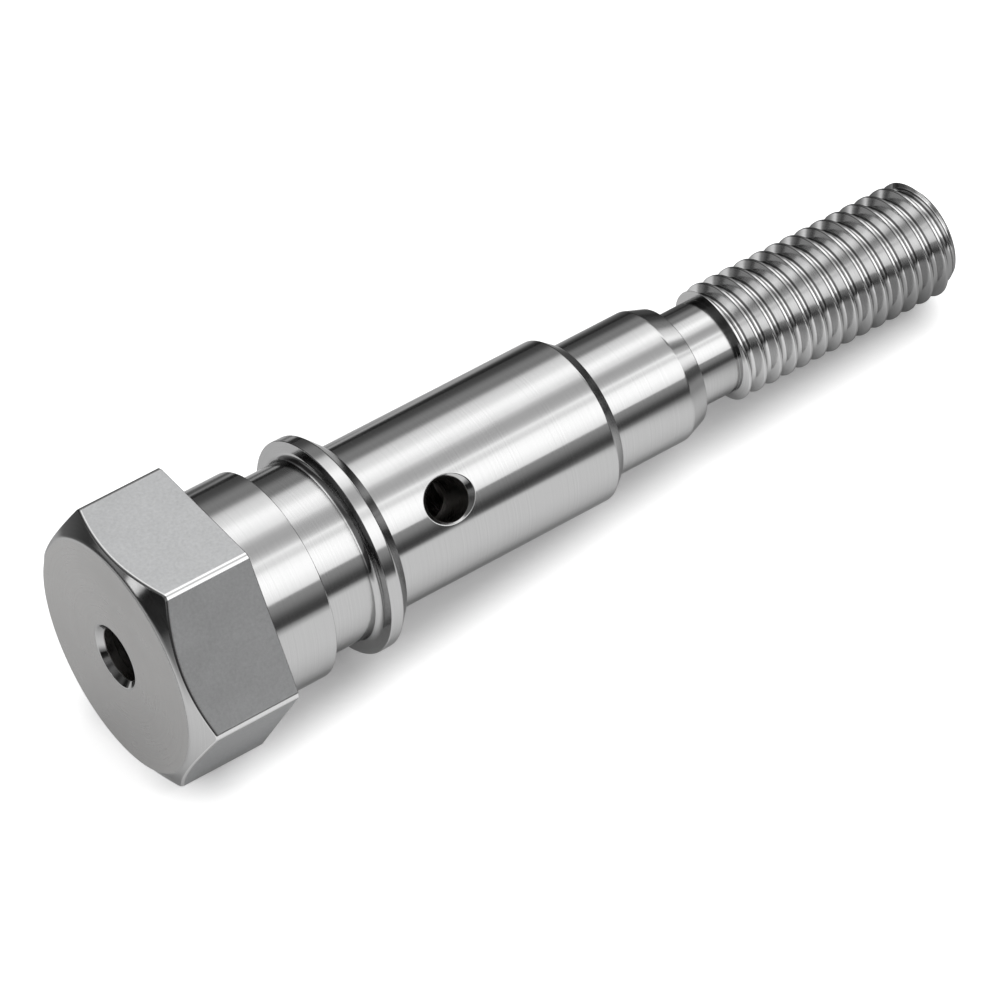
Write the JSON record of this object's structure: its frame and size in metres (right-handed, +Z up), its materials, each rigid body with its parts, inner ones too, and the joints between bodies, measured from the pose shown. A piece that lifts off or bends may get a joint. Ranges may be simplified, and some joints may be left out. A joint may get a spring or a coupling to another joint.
{
  "type": "banjo bolt",
  "caption": "Turned banjo bolt with a hexagon head, collar, thin flange, cross-drilled shank, pilot and threaded end.",
  "frame": {"origin": "on the floor, below the middle of the bolt's bounding box", "axes": "+Z up, +X along the bolt from its head to its thread, which dips 4.48 degrees towards the floor; a flat of the hexagon faces up, and the cross hole is on the -Y side"},
  "size_m": [0.0646, 0.0194, 0.0173],
  "materials": {
    "bolt": "turned and satin, bright at the edges"
  },
  "bodies": {
    "root": {"bolt": "bolt"}
  },
  "joints": []
}
